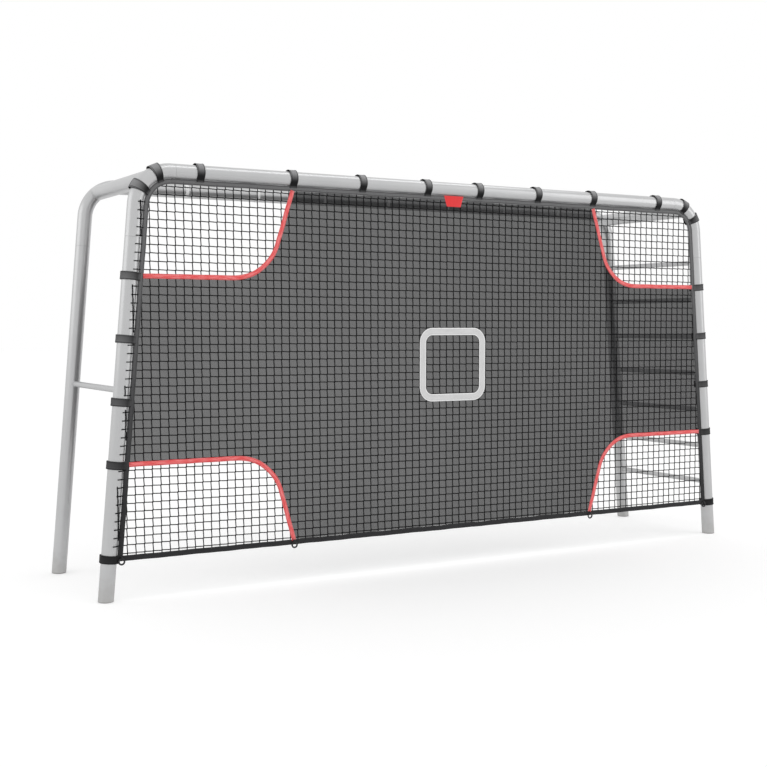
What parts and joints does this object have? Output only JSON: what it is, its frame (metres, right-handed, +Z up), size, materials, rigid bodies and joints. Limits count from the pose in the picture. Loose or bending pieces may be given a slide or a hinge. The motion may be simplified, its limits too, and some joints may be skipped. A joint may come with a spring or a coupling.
{
  "type": "pitch back rebounder",
  "caption": "Free-standing tube frame with splayed legs, a stretched ball net with open corner windows and a target square, a ladder side and a single-bar side.",
  "frame": {"origin": "on the ground, under the middle of the frame", "axes": "+X along the net to the right seen from the front, +Y from the net to the back, +Z up"},
  "size_m": [4.2318, 0.9261, 2.2088],
  "materials": {
    "tube_paint": "satin light grey powder coat",
    "corner_paint": "satin light grey powder coat",
    "cap_plastic": "moulded, light grey",
    "strap_fabric": "hook-and-loop tape, charcoal",
    "webbing_fabric": "woven polyester webbing, dark grey",
    "net_cord": "braided cord, near black",
    "mesh_fabric": "close-woven see-through mesh, near black",
    "red_tape": "woven binding tape, red",
    "target_vinyl": "coated fabric, white",
    "tag_vinyl": "coated fabric, red",
    "ring_plastic": "moulded, black",
    "band_plastic": "smooth, white"
  },
  "bodies": {
    "frame": {"front_beam": "tube_paint", "corner_front_left": "corner_paint", "leg_front_left": "tube_paint", "foot_cap_front_left": "cap_plastic", "corner_front_right": "corner_paint", "leg_front_right": "tube_paint", "foot_cap_front_right": "cap_plastic", "back_beam": "tube_paint", "corner_back_left": "corner_paint", "leg_back_left": "tube_paint", "foot_cap_back_left": "cap_plastic", "corner_back_right": "corner_paint", "leg_back_right": "tube_paint", "foot_cap_back_right": "cap_plastic", "side_beam_left": "tube_paint", "side_straps_left": "strap_fabric", "tape_top_left": "red_tape", "tape_bottom_left": "red_tape", "side_beam_right": "tube_paint", "side_straps_right": "strap_fabric", "tape_top_right": "red_tape", "tape_bottom_right": "red_tape", "ladder_rung_1": "tube_paint", "ladder_rung_2": "tube_paint", "ladder_rung_3": "tube_paint", "ladder_rung_4": "tube_paint", "ladder_rung_5": "tube_paint", "ladder_rung_6": "tube_paint", "ladder_rung_7": "tube_paint", "left_bar": "tube_paint", "webbing_bottom": "webbing_fabric", "webbing_top": "webbing_fabric", "webbing_left": "webbing_fabric", "webbing_right": "webbing_fabric", "webbing_corner_left": "webbing_fabric", "webbing_corner_right": "webbing_fabric", "string_net": "net_cord", "mesh_panel": "mesh_fabric", "target": "target_vinyl", "tag": "tag_vinyl", "beam_straps": "strap_fabric", "corner_straps": "strap_fabric", "ring_keepers": "webbing_fabric", "back_beam_bands": "band_plastic"},
    "ring_outer_left": {"tie_ring_outer_left": "ring_plastic"},
    "ring_inner_left": {"tie_ring_inner_left": "ring_plastic"},
    "ring_inner_right": {"tie_ring_inner_right": "ring_plastic"},
    "ring_outer_right": {"tie_ring_outer_right": "ring_plastic"}
  },
  "joints": [
    {"name": "ring_swing_outer_left", "type": "hinge", "parent": "frame", "child": "ring_outer_left", "pos_m": [-1.99999, -0.4505, 0.216], "axis": [-1, 0, 0], "range_deg": [0, 150]},
    {"name": "ring_swing_inner_left", "type": "hinge", "parent": "frame", "child": "ring_inner_left", "pos_m": [-1.03, -0.4505, 0.216], "axis": [-1, 0, 0], "range_deg": [-8, 150]},
    {"name": "ring_swing_inner_right", "type": "hinge", "parent": "frame", "child": "ring_inner_right", "pos_m": [1.03, -0.4505, 0.216], "axis": [-1, 0, 0], "range_deg": [-8, 150]},
    {"name": "ring_swing_outer_right", "type": "hinge", "parent": "frame", "child": "ring_outer_right", "pos_m": [1.99999, -0.4505, 0.216], "axis": [-1, 0, 0], "range_deg": [0, 150]}
  ]
}
